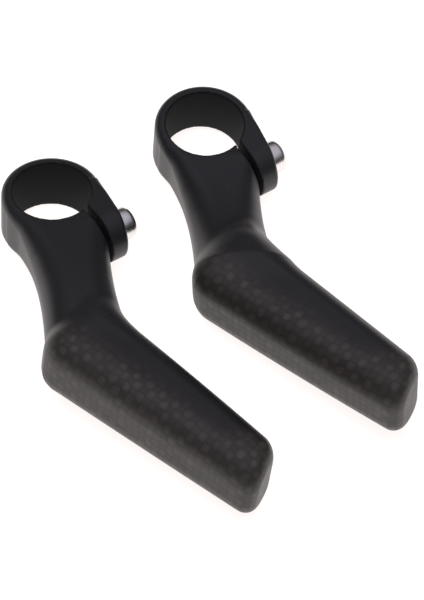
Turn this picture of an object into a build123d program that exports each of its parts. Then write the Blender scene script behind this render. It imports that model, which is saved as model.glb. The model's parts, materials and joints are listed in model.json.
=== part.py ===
from build123d import *
import os
from math import cos, radians, sin

# A pair of clamp-on bar end grips, left and right, lying on a flat surface. Millimetres.
#
# One grip is built in its own frame: +Z is the axis of its bar bore, the neck leaves the
# bore towards -Y, and the grip turns towards +X. The right-hand grip is its mirror image.

# Clamp ring, for a straight 22.2 mm handlebar
bar_diameter = 22.2
ring_diameter = 28.4
ring_width = 16.8
ring_edge_radius = 2.2
bore_chamfer = 0.4

# Ear beside the slit. The bolt axis points out of the ear's outer face.
bolt_angle = 31.3
bolt_offset = 15.0
slit_width = 1.5
slit_start = 3.6
ear_slope = 9.2
ear_inset = 0.1
washer_seat = 11.0
washer_seat_diameter = 10.2
block_depth = 2.0
ear_edge_radius = 1.0

# M5 round-edged socket-head screw, its washer, sleeve and threaded insert
thread_diameter = 5.0
running_clearance = 0.04
head_diameter = 9.6
head_height = 5.0
head_edge_radius = 1.2
socket_flats = 4.0
socket_depth = 2.6
screw_length = 20.0
screw_tip_chamfer = 0.5
washer_diameter = 9.8
washer_bore = 5.3
washer_thickness = 0.5
sleeve_diameter = 6.6
sleeve_bore = 5.5
insert_diameter = 6.6
insert_length = 12.5

# Neck, as sections across Y: (y, left edge, right edge, bottom, top, corner radius)
neck_sections = (
    (-2.0, -14.0, 14.0, -8.4, 8.4, 2.2),
    (-15.0, -8.7, 15.0, -8.4, 8.4, 4.0),
    (-30.0, -5.1, 16.0, -9.1, 8.2, 7.5),
    (-48.0, -3.8, 19.8, -13.6, 6.4, 7.8),
)

# Grip, from its heel to its free end. The corner radii run round from the top outer corner
# to the top inner, bottom inner and bottom outer one.
grip_start = Vector(4.1, -48.3, -3.4)
grip_end = Vector(50.4, -92.5, -9.7)
grip_widths = (24.9, 20.8, 16.7)
grip_heights = (23.1, 22.6, 21.6)
grip_middle_rise = 0.3
grip_radii = (6.3, 6.6, 6.3, 7.8)
grip_end_skew = -17.0
heel_overhang = 5.0
heel_radius = 6.0
end_radius = 4.0

# Hollow carbon shell on its foam core, bonded over the neck's spigot
shell_wall = 1.6
joint_point = Vector(6.0, -46.0, -4.0)
joint_angle = 22.0
spigot_length = 14.0

# How each grip lies: its turn about the vertical, how far the bore leans back and to the
# right, and where the middle of the bore stands
rest_poses = {
    "left": {"turn": 4.2, "lean_back": 8.7, "lean_right": 2.2, "x": -45.2, "y": 23.3},
    "right": {"turn": 1.7, "lean_back": -0.5, "lean_right": 3.1, "x": -2.5, "y": 48.9},
}

up = Vector(0, 0, 1)
bolt_axis = Vector(cos(radians(bolt_angle)), sin(radians(bolt_angle)), 0)
bolt_side = Vector(sin(radians(bolt_angle)), -cos(radians(bolt_angle)), 0)
grip_axis = (grip_end - grip_start).normalized()
grip_length = (grip_end - grip_start).length
grip_inner = up.cross(grip_axis).normalized()
joint_normal = Vector(sin(radians(joint_angle)), -cos(radians(joint_angle)), 0)
reach = 200.0

# The ear's outer face starts just inside the ring's edge, and slopes towards the slit
ear_normal = bolt_axis * cos(radians(ear_slope)) + bolt_side * sin(radians(ear_slope))
ear_plane = Plane(origin=ear_normal * (ring_diameter / 2 - ear_inset), z_dir=ear_normal)


def bolt_plane(distance):
    """Plane across the bolt, at a distance along its axis. Sketch +X is away from the bore."""
    origin = bolt_axis * distance + bolt_side * bolt_offset
    return Plane(origin=origin, x_dir=bolt_side, z_dir=bolt_axis)


def neck_plane(y):
    """Plane across the neck. Sketch +X is the grip's +X, and sketch +Y is up."""
    return Plane(origin=(0, y, 0), x_dir=(1, 0, 0), z_dir=(0, -1, 0))


def grip_plane(distance, skew=0.0, rise=0.0):
    """Plane across the grip. Sketch +X is the inner side, and sketch +Y is up."""
    origin = grip_start + grip_axis * distance + up * rise
    across = grip_inner * cos(radians(skew)) + grip_axis * sin(radians(skew))
    normal = grip_axis * cos(radians(skew)) - grip_inner * sin(radians(skew))
    return Plane(origin=origin, x_dir=across, z_dir=normal)


def joint_plane(distance=0.0):
    """Plane across the bend, where the neck ends and the shell begins."""
    return Plane(origin=joint_point + joint_normal * distance, z_dir=joint_normal)


def rounded_box_face(left, right, bottom, top, radii):
    """Closed face in the active sketch, with its own radius on each corner."""
    corners = ((left, top), (right, top), (right, bottom), (left, bottom))
    with BuildLine() as outline:
        FilletPolyline(*corners, radius=radii, close=True)
    make_face(outline.edges())


def grip_form(inset):
    """The grip's outer form, or the form of its hollow when it is inset."""
    planes = (
        grip_plane(inset - heel_overhang),
        grip_plane(grip_length / 2, rise=grip_middle_rise),
        grip_plane(grip_length + end_radius - inset, grip_end_skew),
    )
    radii = [radius - inset for radius in grip_radii]
    with BuildPart() as form:
        for plane, width, height in zip(planes, grip_widths, grip_heights):
            x, y = width / 2 - inset, height / 2 - inset
            with BuildSketch(plane):
                rounded_box_face(-x, x, -y, y, radii)
        loft()
        ends = form.faces().filter_by(GeomType.PLANE).sort_by(Axis((0, 0, 0), grip_axis))
        fillet(ends[0].edges(), heel_radius - inset - 0.2)
        ends = form.faces().filter_by(GeomType.PLANE).sort_by(Axis((0, 0, 0), grip_axis))
        fillet(ends[-1].edges(), end_radius - inset - 0.2)
    return form.part


def neck_form():
    """The neck, from inside the clamp ring to inside the grip's heel."""
    with BuildPart() as form:
        for y, left, right, bottom, top, radius in neck_sections:
            with BuildSketch(neck_plane(y)):
                rounded_box_face(left, right, bottom, top, radius)
        loft()
    return form.part


def block_form():
    """The clamping block on both sides of the slit, round about the bolt's axis."""
    half = ring_width / 2
    with BuildPart() as form:
        with BuildSketch(bolt_plane(slit_start - block_depth)):
            Circle(half)
            with Locations((-bolt_offset / 2, 0)):
                Rectangle(bolt_offset, ring_width)
        extrude(amount=ring_diameter / 2 - slit_start + block_depth)
        split(bisect_by=ear_plane, keep=Keep.BOTTOM)
        outer_face = form.faces().sort_by(Axis((0, 0, 0), ear_plane.z_dir))[-1]
        bore_side = outer_face.edges().sort_by(Axis((0, 0, 0), bolt_side))[0]
        fillet(outer_face.edges() - [bore_side], ear_edge_radius)
    return form.part


# The outer form of a whole handle, and the hollow of its carbon shell
handle = grip_form(0.0) + neck_form()
hollow = grip_form(shell_wall)
block = block_form()

with BuildPart() as ring:
    with BuildSketch(Plane.XZ) as ring_profile:
        with Locations((ring_diameter / 4, 0)):
            Rectangle(ring_diameter / 2, ring_width)
        fillet(ring_profile.vertices().group_by(Axis.X)[-1], ring_edge_radius)
    revolve(axis=Axis.Z)

# Everything that the handlebar needs clear, with a small lead-in at each mouth
bore_radius = bar_diameter / 2
mouth_height = ring_width / 2 + 1
mouth_radius = bore_radius + bore_chamfer + 1
with BuildPart() as bore:
    with BuildSketch(Plane.XZ):
        with BuildLine():
            Polyline(
                (0, -mouth_height),
                (mouth_radius, -mouth_height),
                (bore_radius, -ring_width / 2 + bore_chamfer),
                (bore_radius, ring_width / 2 - bore_chamfer),
                (mouth_radius, mouth_height),
                (0, mouth_height),
                close=True,
            )
        make_face()
    revolve(axis=Axis.Z)

with BuildPart() as spigot:
    add(hollow)
    split(bisect_by=joint_plane(), keep=Keep.TOP)
    split(bisect_by=joint_plane(spigot_length), keep=Keep.BOTTOM)

# One stiff moulding: ring, clamping block, neck and spigot
with BuildPart() as clamp_neck:
    add(handle)
    split(bisect_by=joint_plane(), keep=Keep.BOTTOM)
    add(ring)
    add(block)
    add(spigot)
    add(bore, mode=Mode.SUBTRACT)
    with BuildSketch(Plane(origin=(0, 0, 0), x_dir=bolt_side, z_dir=up)):
        with Locations((reach / 2, slit_start + slit_width / 2)):
            Rectangle(reach, slit_width)
    extrude(amount=ring_width, both=True, mode=Mode.SUBTRACT)
    with BuildSketch(bolt_plane(slit_start - insert_length)):
        Circle(insert_diameter / 2)
    extrude(amount=reach, mode=Mode.SUBTRACT)
    with BuildSketch(bolt_plane(washer_seat)):
        Circle(washer_seat_diameter / 2)
    extrude(amount=reach, mode=Mode.SUBTRACT)

with BuildPart() as grip_shell:
    add(handle)
    split(bisect_by=joint_plane(), keep=Keep.TOP)
    add(hollow, mode=Mode.SUBTRACT)

with BuildPart() as foam_core:
    add(hollow)
    split(bisect_by=joint_plane(spigot_length), keep=Keep.TOP)

with BuildPart() as bolt_insert:
    with BuildSketch(bolt_plane(slit_start - insert_length)):
        Circle(insert_diameter / 2)
        Circle(thread_diameter / 2 + running_clearance, mode=Mode.SUBTRACT)
    extrude(amount=insert_length)

with BuildPart() as ear_sleeve:
    with BuildSketch(bolt_plane(slit_start + slit_width)):
        Circle(sleeve_diameter / 2)
        Circle(sleeve_bore / 2, mode=Mode.SUBTRACT)
    extrude(amount=washer_seat - slit_start - slit_width)

with BuildPart() as bolt_washer:
    with BuildSketch(bolt_plane(washer_seat)):
        Circle(washer_diameter / 2)
        Circle(washer_bore / 2, mode=Mode.SUBTRACT)
    extrude(amount=washer_thickness)

# Socket-head screw, seated on its washer
head_seat = washer_seat + washer_thickness + running_clearance
with BuildPart() as clamp_bolt:
    with BuildSketch(bolt_plane(head_seat - screw_length)):
        Circle(thread_diameter / 2)
    extrude(amount=screw_length)
    tip = clamp_bolt.faces().sort_by(Axis((0, 0, 0), bolt_axis))[0]
    chamfer(tip.edges(), screw_tip_chamfer)
    with BuildSketch(bolt_plane(head_seat)):
        Circle(head_diameter / 2)
    extrude(amount=head_height)
    crown = clamp_bolt.faces().sort_by(Axis((0, 0, 0), bolt_axis))[-1]
    fillet(crown.edges(), head_edge_radius)
    with BuildSketch(bolt_plane(head_seat + head_height)):
        RegularPolygon(socket_flats / 2, 6, major_radius=False)
    extrude(amount=-socket_depth, mode=Mode.SUBTRACT)

pieces = {
    "clamp_neck": clamp_neck.part,
    "grip_shell": grip_shell.part,
    "foam_core": foam_core.part,
    "bolt_insert": bolt_insert.part,
    "ear_sleeve": ear_sleeve.part,
    "bolt_washer": bolt_washer.part,
    "clamp_bolt": clamp_bolt.part,
}


def rest_plane(pose):
    """Plane of the bore's mid-section where a grip lies on the surface."""
    back = sin(radians(pose["lean_back"]))
    right = sin(radians(pose["lean_right"]))
    normal = Vector(right, back, (1 - back**2 - right**2) ** 0.5)
    turned = Vector(cos(radians(pose["turn"])), sin(radians(pose["turn"])), 0)
    across = turned - normal * turned.dot(normal)
    return Plane(origin=(pose["x"], pose["y"], 0), x_dir=across, z_dir=normal)


def lay_down(side, pose):
    """One grip's pieces where they lie, with their lowest point on the surface."""
    placed = {}
    for name, piece in pieces.items():
        if side == "right":
            piece = mirror(piece, about=Plane.XY)
        placed[f"{side}_{name}"] = rest_plane(pose).location * piece
    lowest = min(piece.bounding_box().min.Z for piece in placed.values())
    return {node: Pos(Z=-lowest) * piece for node, piece in placed.items()}


# Both grips lie on the surface, and the origin is the middle of the pair's footprint
nodes = {}
for side, pose in rest_poses.items():
    nodes.update(lay_down(side, pose))
centre = Compound(list(nodes.values())).bounding_box().center()

os.makedirs("parts", exist_ok=True)
for node, placed in nodes.items():
    with BuildPart() as piece:
        add(Pos(-centre.X, -centre.Y) * placed)
    piece.part.label = node
    export_step(piece.part, f"parts/{node}.step")
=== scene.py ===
import json
from math import cos, pi, radians, sin

import bmesh
import bpy
import numpy as np
from mathutils import Matrix, Vector


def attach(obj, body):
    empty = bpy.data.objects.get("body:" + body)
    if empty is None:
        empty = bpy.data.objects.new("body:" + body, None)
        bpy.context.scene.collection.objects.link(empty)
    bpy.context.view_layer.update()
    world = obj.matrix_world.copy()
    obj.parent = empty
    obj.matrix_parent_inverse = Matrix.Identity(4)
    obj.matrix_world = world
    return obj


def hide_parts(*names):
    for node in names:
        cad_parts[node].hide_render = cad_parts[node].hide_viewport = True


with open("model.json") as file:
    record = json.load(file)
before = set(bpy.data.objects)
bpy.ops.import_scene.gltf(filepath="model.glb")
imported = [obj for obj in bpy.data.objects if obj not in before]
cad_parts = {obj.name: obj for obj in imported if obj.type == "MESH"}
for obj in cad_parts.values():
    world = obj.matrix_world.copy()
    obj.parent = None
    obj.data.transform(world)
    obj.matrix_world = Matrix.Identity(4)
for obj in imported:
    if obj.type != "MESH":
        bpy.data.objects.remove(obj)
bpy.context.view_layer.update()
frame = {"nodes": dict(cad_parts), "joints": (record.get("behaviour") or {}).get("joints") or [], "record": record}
nodes, record = frame["nodes"], frame["record"]
joints = {joint["name"]: joint for joint in frame["joints"]}
mounts = {mount["name"]: mount for mount in record["mounts"]}

# ---- One grip as a field, in its own frame and in millimetres: +Z is the bore's axis ----

# Clamp ring: bore and outer radius, half its width, and the rounding of its edges
R_BORE, R_RING, H_RING, E_RING = 11.1, 14.2, 8.4, 2.2
BORE_EDGE = 0.5

# Ear: the bolt's angle, its distance from the bore, and both faces of the slit along its axis
BETA, BOLT_S, SLIT_A, SLIT_B = radians(31.3), 15.0, 3.6, 5.1
EAR_SLOPE, EAR_OUT, EAR_START = radians(9.2), 14.1, 2.3
SLIT_EDGE = 0.3
HOLE_R, HOLE_END = 3.35, -8.9
SEAT_R, SEAT_A, SEAT_EDGE = 5.05, 11.0, 0.2

# Neck: left and right edges, bottom and top, as cubics of y through four sections
NECK_Y = np.array((-2.0, -15.0, -30.0, -48.0))
NECK_LEFT = np.polyfit(NECK_Y, (-14.0, -8.7, -5.1, -3.8), 3)
NECK_RIGHT = np.polyfit(NECK_Y, (14.0, 15.0, 16.0, 19.8), 3)
NECK_LOW = np.polyfit(NECK_Y, (-8.4, -8.4, -9.3, -14.3), 3)
NECK_HIGH = np.polyfit(NECK_Y, (8.4, 8.4, 8.2, 6.7), 3)
NECK_START, NECK_END, NECK_OUTER = -7, -57, 10.5
NECK_EDGE_AT = (-3, 8, 15, 22, 30, 48)
NECK_EDGE = (2.2, 3.4, 5.4, 7.2, 8.2, 8.9)

# Grip: its axis from heel to free end, its inner side, and half its width and height along it
GRIP_A = np.array((4.1, -48.3, -3.4))
GRIP_B = np.array((50.4, -92.5, -9.7))
GRIP_L = float(np.linalg.norm(GRIP_B - GRIP_A))
AX = (GRIP_B - GRIP_A) / GRIP_L
INN = np.cross((0, 0, 1), AX)
INN /= np.linalg.norm(INN)
UPV = np.cross(AX, INN)
HEEL, END, SKEW = 5.0, 3.55, radians(-17.0)
T_MID = (GRIP_L / 2 + HEEL) / (GRIP_L + HEEL + END)
W3 = np.polyfit((0, T_MID, 1), (12.45, 10.4, 8.35 * cos(SKEW)), 2)
H3 = np.polyfit((0, T_MID, 1), (11.55, 11.3, 10.8), 2)
RISE3 = np.polyfit((0, T_MID, 1), (0, 0.3, 0), 2)
HEEL_EDGE, END_EDGE = 8.5, 4.6

# Its corners: top outer, top inner, bottom inner and bottom outer
RADII = (8.3, 6.6, 6.3, 8.3)

# Everything is drawn in by this much, so that it stays within the solids' box
SHRINK = 0.003


def rmax(a, b, r):
    """What lies in both fields, with the edge between them rounded by r."""
    a, b = a + r, b + r
    return np.minimum(np.maximum(a, b), 0) + np.hypot(np.maximum(a, 0), np.maximum(b, 0)) - r


def smin(a, b, k):
    """What lies in either field, with the crease between them filled over a width k."""
    h = np.clip(0.5 + 0.5 * (b - a) / k, 0, 1)
    return b * (1 - h) + a * h - k * h * (1 - h)


def step(a, b, x):
    """0 before a, 1 past b, and smooth between them."""
    t = np.clip((x - a) / (b - a), 0, 1)
    return t * t * (3 - 2 * t)


def grip_coords(x, y, z):
    """Distance along the grip, across it and up, and half its width and height there."""
    dx, dy, dz = x - GRIP_A[0], y - GRIP_A[1], z - GRIP_A[2]
    s = dx * AX[0] + dy * AX[1] + dz * AX[2]
    u = dx * INN[0] + dy * INN[1] + dz * INN[2]
    v = dx * UPV[0] + dy * UPV[1] + dz * UPV[2]
    t = np.clip((s + HEEL) / (HEEL + GRIP_L + END + u * np.tan(SKEW)), 0, 1.1)
    return s, u, v - np.polyval(RISE3, t), np.polyval(W3, t), np.polyval(H3, t)


def grip_side(u, v, w, h):
    """Distance from the grip's section, a rounded box with its own radius on each corner."""
    r = np.where(v > 0, np.where(u < 0, RADII[0], RADII[1]), np.where(u < 0, RADII[3], RADII[2]))
    qx, qy = np.abs(u) - w + r, np.abs(v) - h + r
    return np.minimum(np.maximum(qx, qy), 0) + np.hypot(np.maximum(qx, 0), np.maximum(qy, 0)) - r


def grip_field(x, y, z):
    s, u, v, w, h = grip_coords(x, y, z)
    side = grip_side(u, v, w, h)
    end = (s - GRIP_L - END) * cos(SKEW) - u * sin(SKEW)
    return rmax(rmax(side, end, END_EDGE), -(s + HEEL), HEEL_EDGE)


def ring_field(x, y, z):
    return rmax(np.hypot(x, y) - R_RING, np.abs(z) - H_RING, E_RING)


def neck_field(x, y, z):
    yc = np.clip(y, -50, -2)
    left, right = np.polyval(NECK_LEFT, yc), np.polyval(NECK_RIGHT, yc)
    sl, sr = np.polyval(np.polyder(NECK_LEFT), yc), np.polyval(np.polyder(NECK_RIGHT), yc)
    strip = np.maximum((left - x) / np.sqrt(1 + sl * sl), (x - right) / np.sqrt(1 + sr * sr))
    outer = -(x - GRIP_A[0]) * INN[0] - (y - GRIP_A[1]) * INN[1]
    strip = np.maximum(np.maximum(strip, y - NECK_START), np.maximum(NECK_END - y, outer - NECK_OUTER))
    plan = smin(np.hypot(x, y) - R_RING, strip, 1.6)
    rad = np.interp(-y, NECK_EDGE_AT, NECK_EDGE)
    lift = np.maximum(z - np.polyval(NECK_HIGH, yc), np.polyval(NECK_LOW, yc) - z)
    return rmax(plan, lift, rad)


def body_field(x, y, z):
    """The whole handle: neck, grip, ring and ear, less the bore, the slit and the bolt's hole."""
    neck, grip = neck_field(x, y, z), grip_field(x, y, z)
    # the bend is filled more on its inner side and towards -Z
    fill = (1.3 + 2.1 * step(-1, 9, x)) * (1 + 0.9 * step(3, -8, z))
    main = smin(neck, grip, fill)
    a, s = x * cos(BETA) + y * sin(BETA), x * sin(BETA) - y * cos(BETA)
    main = np.where(s > 0, rmax(main, a - SLIT_A, SLIT_EDGE), main)
    rb = np.hypot(s - BOLT_S, z)
    stad = np.where(s < BOLT_S, np.abs(z), rb) - H_RING
    out = a * cos(EAR_SLOPE) + s * sin(EAR_SLOPE) - EAR_OUT
    ear = np.maximum(rmax(stad, out, 1.8 - 0.9 * step(2, 9, s)), EAR_START - s)
    ear = rmax(smin(ring_field(x, y, z), ear, 0.8), SLIT_B - a, SLIT_EDGE)
    f = rmax(np.minimum(main, ear), R_BORE - np.hypot(x, y), BORE_EDGE)
    f = np.maximum(f, -np.maximum(rb - HOLE_R, HOLE_END - a))
    return rmax(f, -np.maximum(rb - SEAT_R, SEAT_A - a), SEAT_EDGE) + SHRINK


def surface_net(field, low, high, pitch):
    """Vertices and quads of the zero level of field over a box."""
    axes = [np.arange(a, b + pitch, pitch) for a, b in zip(low, high)]
    grid = field(*np.meshgrid(*axes, indexing="ij"))
    inside = grid < 0
    cell = np.zeros([n - 1 for n in grid.shape], int)
    corners = [(i, j, k) for i in (0, 1) for j in (0, 1) for k in (0, 1)]
    shape = cell.shape
    for i, j, k in corners:
        cell += inside[i:i + shape[0], j:j + shape[1], k:k + shape[2]]
    mixed = (cell > 0) & (cell < 8)
    index = np.full(shape, -1)
    index[mixed] = np.arange(mixed.sum())
    base = np.argwhere(mixed)
    total, count = np.zeros((len(base), 3)), np.zeros(len(base))
    for a in corners:
        for axis in range(3):
            if a[axis]:
                continue
            b = list(a)
            b[axis] = 1
            fa = grid[tuple((base + a).T)]
            fb = grid[tuple((base + b).T)]
            cross = (fa < 0) != (fb < 0)
            t = np.where(cross, fa / np.where(cross, fa - fb, 1), 0)
            point = base + np.array(a, float)
            point[:, axis] += t
            total[cross] += point[cross]
            count += cross
    verts = total / count[:, None] * pitch + [a[0] for a in axes]
    quads = []
    for axis in range(3):
        u, v = (axis + 1) % 3, (axis + 2) % 3
        lo = [slice(1, -1)] * 3
        lo[axis] = slice(0, -1)
        hi = [slice(1, -1)] * 3
        hi[axis] = slice(1, None)
        a, b = inside[tuple(lo)], inside[tuple(hi)]
        for flip, hit in ((False, a & ~b), (True, ~a & b)):
            at = np.argwhere(hit)
            at[:, u] += 1
            at[:, v] += 1
            ring = []
            for du, dv in ((0, 0), (-1, 0), (-1, -1), (0, -1)):
                c = at.copy()
                c[:, u] += du
                c[:, v] += dv
                ring.append(index[tuple(c.T)])
            ring = np.stack(ring, 1)
            quads.append(ring[:, ::-1] if flip else ring)
    return verts, np.concatenate(quads)


def gradient(field, p, eps=0.02):
    """Slope of field at each point of p."""
    g = np.empty_like(p)
    for axis in range(3):
        d = np.zeros(3)
        d[axis] = eps
        g[:, axis] = (field(*(p + d).T) - field(*(p - d).T)) / (2 * eps)
    return g


def settle(field, p, rounds=3):
    """Move points onto the field's zero level."""
    for _ in range(rounds):
        g = gradient(field, p)
        size = np.maximum((g * g).sum(1), 0.2)
        move = g * (field(*p.T) / size)[:, None]
        p = p - np.clip(move, -0.3, 0.3)
    return p


def weave_coords(x, y, z):
    """Distance along the grip, signed distance round it, and how far the cloth shows, 0 to 1."""
    s, u, v, w, h = grip_coords(x, y, z)
    inset = np.maximum(-grip_side(u, v, w, h) - 0.3, 0)
    low = v < 0
    radii = [np.where(u < 0, RADII[0], RADII[1]), np.where(u < 0, RADII[3], RADII[2])]
    quarter = [w - r + r * pi / 2 + h - r for r in radii]
    r = np.where(low, radii[1], radii[0])
    qx, qy = np.abs(u) - w + r, np.abs(v) - h + r
    corner = w - r + r * np.arctan2(np.maximum(qx, 0), np.maximum(qy, 1e-6))
    girth = np.where(qx < 0, np.where(qy > qx, np.abs(u), w - r + r * pi / 2 - qy), corner)
    girth = np.where((qx >= 0) & (qy < 0), w - r + r * pi / 2 - qy, girth)
    girth = np.where(low, quarter[0] + quarter[1] - girth, girth)
    along = s + np.where(s > GRIP_L / 2, inset, -inset)
    edge = 3.0 - 5.0 * step(3, 10, np.abs(v)) + 9 * step(GRIP_L - 15, GRIP_L, s)
    shown = 1 - step(edge - 4.5, edge + 4.5, u)
    return along, np.where(u < 0, -girth, girth), shown * step(-6.5, 1, s + 0.1 * u)


def hidden_faces(x, y, z):
    """How far a point lies on the bore's wall or on a face of the slit, 0 to 1."""
    a, s = x * cos(BETA) + y * sin(BETA), x * sin(BETA) - y * cos(BETA)
    slit = step(SLIT_A - 0.5, SLIT_A - 0.1, a) * (1 - step(SLIT_B + 0.1, SLIT_B + 0.5, a)) * (s > 8)
    return np.maximum(slit, 1 - step(R_BORE + 0.1, R_BORE + 0.5, np.hypot(x, y)))


# ---- Materials ----

# The weave's tow width in millimetres, and the colours of cloth and paint. The cloth's dark is the fibre's own
# colour and also the painted shade between tows; its two other colours paint the tows along the grip lit and the
# tows round it in shade.
TOW = 2.3
CLOTH_DARK = (0.013, 0.0115, 0.011)
CLOTH_LIT_TOW = (0.070, 0.057, 0.051)
CLOTH_SHADED_TOW = (0.044, 0.037, 0.034)
BLACK = (0.0085, 0.008, 0.0095)
BLACK_WORN = (0.0115, 0.011, 0.0125)
ROUGH_BLACK = 0.36
ROUGH_CLOTH = 0.36


class Graph:
    """Short names for building a node tree."""

    def __init__(self, name):
        self.material = bpy.data.materials.new(name)
        self.material.use_nodes = True
        self.tree = self.material.node_tree
        self.shader = self.tree.nodes["Principled BSDF"]

    def node(self, kind, inputs=(), **settings):
        made = self.tree.nodes.new(kind)
        for key, value in settings.items():
            setattr(made, key, value)
        for key, value in dict(inputs).items():
            self.put(made.inputs[key], value)
        return made

    def put(self, socket, value):
        if isinstance(value, bpy.types.NodeSocket):
            self.tree.links.new(value, socket)
        else:
            socket.default_value = value

    def math(self, operation, *values, clamp=False):
        inputs = dict(enumerate(values))
        return self.node("ShaderNodeMath", inputs, operation=operation, use_clamp=clamp).outputs[0]

    def mix(self, factor, a, b):
        made = self.node("ShaderNodeMix", {0: factor, 6: a, 7: b}, data_type="RGBA")
        return made.outputs[2]

    def blend(self, factor, a, b):
        return self.node("ShaderNodeMix", {0: factor, 2: a, 3: b}, data_type="FLOAT").outputs[0]

    def noise(self, vector, scale, detail=3.0, roughness=0.5):
        inputs = {"Vector": vector, "Scale": scale, "Detail": detail, "Roughness": roughness}
        return self.node("ShaderNodeTexNoise", inputs).outputs["Fac"]

    def stretch(self, vector, scale):
        inputs = {"Vector": vector, "Scale": scale}
        return self.node("ShaderNodeMapping", inputs).outputs[0]

    def attribute(self, name):
        return self.node("ShaderNodeAttribute", attribute_name=name)

    def bump(self, height, distance, strength=1.0):
        inputs = {"Height": height, "Distance": distance, "Strength": strength}
        return self.node("ShaderNodeBump", inputs).outputs[0]

    def set(self, **inputs):
        for key, value in inputs.items():
            self.put(self.shader.inputs[key.replace("_", " ")], value)
        return self.material


def rgb(r, g, b):
    return (r, g, b, 1.0)


def body_material(name):
    """Satin black moulding, with woven carbon wherever the "cloth" attribute is up."""
    g = Graph(name)
    place = g.attribute("unit").outputs["Vector"]
    cloth = g.attribute("cloth").outputs["Fac"]
    recess_shade_and_matte = g.attribute("bore").outputs["Fac"]
    flow = g.attribute("weave").outputs["Vector"]
    wander = g.node("ShaderNodeTexNoise", {"Vector": place, "Scale": 0.16, "Detail": 2.0})
    wander = {0: wander.outputs["Color"], 1: (0.5, 0.5, 0.5)}
    offset = g.node("ShaderNodeVectorMath", wander, operation="SUBTRACT").outputs[0]
    offset = g.node("ShaderNodeVectorMath", {0: offset, "Scale": 2.2}, operation="SCALE").outputs[0]
    flow = g.node("ShaderNodeVectorMath", {0: flow, 1: offset}, operation="ADD").outputs[0]
    cell = g.node("ShaderNodeVectorMath", {0: flow, "Scale": 1 / TOW}, operation="SCALE").outputs[0]
    part = g.node("ShaderNodeSeparateXYZ", {0: cell})
    along, round_ = part.outputs[0], part.outputs[1]
    count = g.math("ADD", g.math("FLOOR", along), g.math("FLOOR", round_))
    over = g.math("ROUND", g.math("PINGPONG", count, 1.0))
    fa, fr = g.math("FRACT", along), g.math("FRACT", round_)
    ridge_a = g.math("SINE", g.math("MULTIPLY", fa, pi))
    ridge_r = g.math("SINE", g.math("MULTIPLY", fr, pi))
    pillow_a = g.math("MULTIPLY", g.math("POWER", ridge_r, 0.45), g.math("POWER", ridge_a, 0.7))
    pillow_r = g.math("MULTIPLY", g.math("POWER", ridge_a, 0.45), g.math("POWER", ridge_r, 0.7))
    pillow = g.blend(over, pillow_a, pillow_r)
    streak_a = g.noise(g.stretch(flow, (0.35, 7.0, 1.0)), 1.0, 3.0, 0.6)
    streak_r = g.noise(g.stretch(flow, (7.0, 0.35, 1.0)), 1.0, 3.0, 0.6)
    streak = g.blend(over, streak_a, streak_r)
    patch = g.noise(g.stretch(place, (0.09, 0.09, 0.14)), 1.0, 2.0, 0.5)
    corner = g.node("ShaderNodeVectorMath", {0: cell}, operation="FLOOR").outputs[0]
    chance = g.node("ShaderNodeTexWhiteNoise", {"Vector": corner}, noise_dimensions="2D").outputs["Value"]
    # Painted highlight and shade on the weave: each tow is lighter on its crown and in its fibre streaks (the
    # sheen) and darker towards its edges
    sheen = g.math("ADD", g.math("MULTIPLY", streak, 0.9), 0.2)
    light = g.math("MULTIPLY", g.math("POWER", pillow, 0.4), sheen)
    light = g.math("MULTIPLY", light, g.math("ADD", g.math("MULTIPLY", chance, 0.6), 0.6))
    # The tows along the grip are painted lit, and the tows round it (dull) are painted in shade
    lit_tows = g.mix(light, rgb(*CLOTH_DARK), rgb(*CLOTH_LIT_TOW))
    dull = g.mix(light, rgb(*CLOTH_DARK), rgb(*CLOTH_SHADED_TOW))
    woven = g.mix(over, lit_tows, dull)
    woven = g.mix(g.math("MULTIPLY", patch, 0.6), woven, rgb(*CLOTH_DARK))
    cloud = g.noise(place, 0.08, 3.0, 0.5)
    fine = g.noise(place, 2.6, 4.0, 0.65)
    plain = g.mix(cloud, rgb(*BLACK), rgb(*BLACK_WORN))
    shown = g.math("MULTIPLY", cloth, g.math("ADD", g.math("MULTIPLY", patch, 0.9), 0.55), clamp=True)
    base = g.mix(shown, plain, woven)
    rough_plain = g.math("ADD", g.math("MULTIPLY", fine, 0.10), ROUGH_BLACK)
    rough_cloth = g.math("ADD", g.math("MULTIPLY", g.math("SUBTRACT", 1.0, light), 0.16), ROUGH_CLOTH)
    rough = g.blend(recess_shade_and_matte, g.blend(shown, rough_plain, rough_cloth), 0.85)
    fibre = g.math("ADD", g.math("MULTIPLY", streak, 0.25), pillow)
    relief = g.bump(g.math("MULTIPLY", fibre, shown), 0.00003, 0.6)
    grain = {"Height": fine, "Distance": 0.000012, "Strength": 0.6, "Normal": relief}
    grain = g.node("ShaderNodeBump", grain)
    pores = g.node("ShaderNodeTexVoronoi", {"Vector": place, "Scale": 0.22}).outputs["Distance"]
    pit = g.math("LESS_THAN", pores, 0.035)
    base = g.mix(g.math("MULTIPLY", pit, 0.5), base, rgb(0.09, 0.085, 0.08))
    # Painted shade: the bore's wall and the slit's faces are darkened nearly to black
    base = g.mix(g.math("MULTIPLY", recess_shade_and_matte, 0.75), base, rgb(0.002, 0.002, 0.002))
    return g.set(Base_Color=base, Roughness=rough, Normal=grain.outputs[0], IOR=1.5)


def steel_material(name, colour, roughness):
    g = Graph(name)
    place = g.node("ShaderNodeTexCoord").outputs["Object"]
    blur = g.noise(place, 900.0, 3.0, 0.6)
    drawn = g.noise(g.stretch(place, (2200.0, 260.0, 2200.0)), 1.0, 2.0, 0.5)
    base = g.mix(blur, rgb(*(c * 0.9 for c in colour)), rgb(*colour))
    rough = g.math("ADD", g.math("MULTIPLY", blur, 0.08), roughness)
    return g.set(Base_Color=base, Metallic=1.0, Roughness=rough, Normal=g.bump(drawn, 0.000004))


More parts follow.
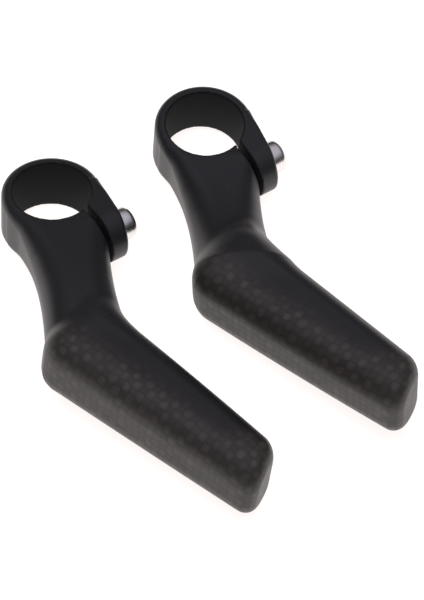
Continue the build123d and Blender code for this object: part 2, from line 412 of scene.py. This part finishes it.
def turned_material(name):
    """Turned aluminium: fine rings and a dull bloom."""
    g = Graph(name)
    place = g.node("ShaderNodeTexCoord").outputs["Object"]
    rings = g.noise(g.stretch(place, (5200.0, 5200.0, 400.0)), 1.0, 2.0, 0.5)
    bloom = g.noise(place, 600.0, 4.0, 0.6)
    base = g.mix(bloom, rgb(0.52, 0.53, 0.55), rgb(0.68, 0.68, 0.69))
    rough = g.math("ADD", g.math("MULTIPLY", bloom, 0.18), 0.26)
    return g.set(Base_Color=base, Metallic=1.0, Roughness=rough, Normal=g.bump(rings, 0.000006))


def foam_material(name):
    """Rigid closed-cell foam: pale, with open cells on its cut face, darker in their hollows as painted shade."""
    g = Graph(name)
    place = g.node("ShaderNodeTexCoord").outputs["Object"]
    cells = g.node("ShaderNodeTexVoronoi", {"Vector": place, "Scale": 1400.0}).outputs["Distance"]
    tone = g.noise(place, 120.0, 3.0, 0.5)
    # Painted shade: each cell is darker towards its middle
    base = g.mix(cells, rgb(0.52, 0.49, 0.40), g.mix(tone, rgb(0.74, 0.72, 0.64), rgb(0.82, 0.80, 0.73)))
    return g.set(Base_Color=base, Roughness=0.85, Normal=g.bump(cells, 0.00025))


# ---- Pieces ----


def placement(side):
    """Bore centre, and the grip's own axes in the row frame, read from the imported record."""
    mount, travel = mounts[f"{side}_clamp"], joints[f"{side}_bolt_travel"]
    up = np.array(mount["axis"]) / np.linalg.norm(mount["axis"])
    bolt = np.array(travel["axis"]) / np.linalg.norm(travel["axis"])
    across = bolt * cos(BETA) - np.cross(up, bolt) * sin(BETA)
    hand = -1.0 if side == "right" else 1.0
    return np.array(mount["pos_m"]), np.array((across, np.cross(up, across), up * hand))


def clipped(verts, quads, keep_outer):
    """The net on one side of the joint between the moulding and the shell."""
    mesh = bpy.data.meshes.new("net")
    mesh.from_pydata(verts.tolist(), [], quads.tolist())
    bm = bmesh.new()
    bm.from_mesh(mesh)
    everything = bm.verts[:] + bm.edges[:] + bm.faces[:]
    bmesh.ops.bisect_plane(
        bm, geom=everything, dist=1e-4, plane_co=JOINT_POINT, plane_no=JOINT_NORMAL,
        clear_inner=keep_outer, clear_outer=not keep_outer,
    )
    bm.to_mesh(mesh)
    bm.free()
    return mesh


def body_piece(side, name, net, material):
    """A copy of a local mesh laid where the side's grip lies, with its smooth normals."""
    origin, axes = placement(side)
    mesh = net.copy()
    mesh.name = name
    local = np.empty(len(mesh.vertices) * 3)
    mesh.vertices.foreach_get("co", local)
    local = local.reshape(-1, 3)
    normals = gradient(body_field, local)
    normals /= np.linalg.norm(normals, axis=1)[:, None]
    world = origin + local @ axes * 0.001
    mesh.vertices.foreach_set("co", world.ravel())
    along, girth, shown = weave_coords(*local.T)
    unit = mesh.attributes.new("unit", "FLOAT_VECTOR", "POINT")
    unit.data.foreach_set("vector", local.ravel())
    cloth = mesh.attributes.new("cloth", "FLOAT", "POINT")
    cloth.data.foreach_set("value", shown)
    # The bore's wall and the slit's faces, which the material makes matte and darkens as painted shade
    bore = mesh.attributes.new("bore", "FLOAT", "POINT")
    bore.data.foreach_set("value", hidden_faces(*local.T))
    corner = np.empty(len(mesh.loops), int)
    mesh.loops.foreach_get("vertex_index", corner)
    weave = mesh.attributes.new("weave", "FLOAT_VECTOR", "CORNER")
    first = np.empty(len(mesh.polygons), int)
    total = np.empty(len(mesh.polygons), int)
    mesh.polygons.foreach_get("loop_start", first)
    mesh.polygons.foreach_get("loop_total", total)
    face = np.repeat(np.arange(len(first)), total)
    start = girth[corner[first]][face]
    turned = girth[corner]
    turned = np.where(np.abs(turned - start) > 20, np.abs(turned) * np.sign(start), turned)
    flow = np.stack((along[corner], turned, np.zeros(len(corner))), 1)
    weave.data.foreach_set("vector", flow.ravel())
    if side == "right":
        mesh.flip_normals()
    mesh.polygons.foreach_set("use_smooth", np.ones(len(mesh.polygons), bool))
    mesh.update()
    mesh.normals_split_custom_set_from_vertices((normals @ axes).tolist())
    mesh.materials.append(material)
    piece = bpy.data.objects.new(name, mesh)
    bpy.context.scene.collection.objects.link(piece)
    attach(piece, f"{side}_grip_body")
    return piece


def ring_of(bm, radius, height, count, hexagon=False):
    """A closed row of vertices about the bolt's axis, on a circle or on a hexagon."""
    row = []
    for i in range(count):
        angle = 2 * pi * i / count
        reach = radius
        if hexagon:
            reach = radius / cos((angle + pi / 6) % (pi / 3) - pi / 6)
        row.append(bm.verts.new((reach * cos(angle), reach * sin(angle), height)))
    return row


def join_rows(bm, low, high):
    count = len(low)
    for i in range(count):
        j = (i + 1) % count
        bm.faces.new((low[i], low[j], high[j], high[i]))


def bolt_mesh():
    """Socket-head screw about +Z in millimetres: its washer's seat is at 0."""
    bm = bmesh.new()
    count, pitch, root, crest = 48, 0.8, 2.07, 2.5
    rows = [ring_of(bm, 1.55, -19.45, count), ring_of(bm, 2.0, -19.1, count)]
    height = -19.0
    while height < -0.35:
        row = []
        for i in range(count):
            turn = (height / pitch - i / count) % 1.0
            rise = min(max(1.35 - 3.2 * abs(turn - 0.5), 0), 1)
            fade = min((height + 19.0) / 0.8, 1) * min((-0.35 - height) / 0.8, 1)
            radius = root + (crest - root) * (rise * fade + (1 - fade) * 0.35)
            angle = 2 * pi * i / count
            row.append(bm.verts.new((radius * cos(angle), radius * sin(angle), height)))
        rows.append(row)
        height += pitch / 9
    for radius, height in ((2.25, -0.3), (2.3, 0.54), (4.5, 0.54), (4.72, 0.64), (4.8, 0.85), (4.8, 3.74)):
        rows.append(ring_of(bm, radius, height, count))
    for k in range(1, 9):
        angle = pi / 2 * k / 8
        rows.append(ring_of(bm, 3.0 + 1.8 * cos(angle), 3.74 + 1.8 * sin(angle), count))
    rows.append(ring_of(bm, 2.62, 5.54, count))
    rows.append(ring_of(bm, 2.38, 5.46, count))
    rows.append(ring_of(bm, 2.0, 5.2, count, hexagon=True))
    rows.append(ring_of(bm, 2.0, 3.1, count, hexagon=True))
    rows.append(ring_of(bm, 1.7, 2.9, count))
    for low, high in zip(rows, rows[1:]):
        join_rows(bm, low, high)
    tip = bm.verts.new((0, 0, -19.45))
    pit = bm.verts.new((0, 0, 2.2))
    for i in range(count):
        j = (i + 1) % count
        bm.faces.new((rows[0][j], rows[0][i], tip))
        bm.faces.new((rows[-1][i], rows[-1][j], pit))
    mesh = bpy.data.meshes.new("screw")
    bm.to_mesh(mesh)
    bm.free()
    mesh.polygons.foreach_set("use_smooth", np.ones(len(mesh.polygons), bool))
    mesh.set_sharp_from_angle(angle=radians(38))
    return mesh


JOINT_POINT = Vector((6.0, -46.0, -4.0))
JOINT_NORMAL = Vector((sin(radians(22.0)), -cos(radians(22.0)), 0.0))
PITCH = 0.6

moulding = body_material("satin_black_moulding")
carbon = body_material("woven_carbon")
steel = steel_material("polished_steel", (0.86, 0.84, 0.83), 0.2)
washer_steel = steel_material("washer_steel", (0.60, 0.595, 0.585), 0.24)
aluminium = turned_material("turned_aluminium")
foam = foam_material("rigid_foam")

verts, quads = surface_net(body_field, (-16, -103, -24), (64, 17, 11), PITCH)
verts = settle(body_field, verts)
neck_net = clipped(verts, quads, keep_outer=False)
shell_net = clipped(verts, quads, keep_outer=True)
screw = bolt_mesh()

for side in ("left", "right"):
    neck = body_piece(side, f"{side}_moulding", neck_net, moulding)
    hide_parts(f"{side}_clamp_neck")
    shell = body_piece(side, f"{side}_carbon_grip", shell_net, carbon)
    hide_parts(f"{side}_grip_shell")

    turn = joints[f"{side}_bolt_turn"]  # its position is the washer's seat
    bolt = bpy.data.objects.new(f"{side}_screw", screw.copy())
    bolt.data.materials.append(steel)
    bpy.context.scene.collection.objects.link(bolt)
    aim = Vector(turn["axis"]).to_track_quat("Z", "Y").to_matrix().to_4x4()
    bolt.data.transform(Matrix.Translation(turn["pos_m"]) @ aim @ Matrix.Scale(0.001, 4))
    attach(bolt, f"{side}_bolt")
    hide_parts(f"{side}_clamp_bolt")

    finishes = {"bolt_washer": washer_steel, "bolt_insert": aluminium}
    finishes.update({"ear_sleeve": aluminium, "foam_core": foam})
    for name, material in finishes.items():
        node = nodes[f"{side}_{name}"]
        node.data.materials.clear()
        node.data.materials.append(material)

# ---- Floor, light and camera ----

TARGET = Vector((0.001358, 0.005668, 0.0))
ELEVATION, DISTANCE, LENS = radians(55.3), 1.013, 216.7

bpy.ops.mesh.primitive_plane_add(size=6.0, location=(0, 0, -0.0002))
floor = bpy.context.object
floor.name = "floor"
paper = Graph("floor_paper")
grain = paper.noise(paper.node("ShaderNodeTexCoord").outputs["Object"], 40.0, 3.0)
tone = paper.mix(grain, rgb(0.34, 0.33, 0.33), rgb(0.37, 0.36, 0.36))
glow = {"Emission_Color": rgb(1, 0.95, 0.925), "Emission_Strength": 0.92}
floor.data.materials.append(paper.set(Base_Color=tone, Roughness=0.9, **glow))

world = bpy.data.worlds.new("studio")
bpy.context.scene.world = world
world.use_nodes = True
sky = world.node_tree
height = sky.nodes.new("ShaderNodeSeparateXYZ")
sky.links.new(sky.nodes.new("ShaderNodeTexCoord").outputs["Generated"], height.inputs[0])
ramp = sky.nodes.new("ShaderNodeValToRGB")
sky.links.new(height.outputs[2], ramp.inputs[0])
ramp.color_ramp.elements[0].color = rgb(0.05, 0.048, 0.05)
ramp.color_ramp.elements[0].position = 0.45
ramp.color_ramp.elements[1].color = rgb(0.50, 0.48, 0.55)
ramp.color_ramp.elements[1].position = 0.85
sky.links.new(ramp.outputs[0], sky.nodes["Background"].inputs[0])


def softbox(name, at, size, power, colour=(1, 1, 1)):
    light = bpy.data.lights.new(name, "AREA")
    light.shape = "RECTANGLE"
    light.size, light.size_y = size
    light.energy = power
    light.color = colour
    lamp = bpy.data.objects.new(name, light)
    lamp.location = at
    lamp.visible_glossy = False
    lamp.rotation_euler = (TARGET - Vector(at)).to_track_quat("-Z", "Y").to_euler()
    bpy.context.scene.collection.objects.link(lamp)


softbox("overhead_softbox", (-0.2, -0.1, 1.6), (1.4, 1.2), 16.0)
softbox("right_softbox", (1.3, 0.5, 1.1), (0.5, 0.9), 3.5)

lens = bpy.data.cameras.new("camera")
lens.lens, lens.sensor_width = LENS, 36.0
lens.clip_start, lens.clip_end = 0.05, 20.0
camera = bpy.data.objects.new("camera", lens)
toward = Vector((0, -cos(ELEVATION), sin(ELEVATION)))
camera.location = TARGET + toward * DISTANCE
camera.rotation_euler = (-toward).to_track_quat("-Z", "Y").to_euler()
bpy.context.scene.collection.objects.link(camera)
bpy.context.scene.camera = camera
bpy.context.scene.view_settings.view_transform = "Standard"
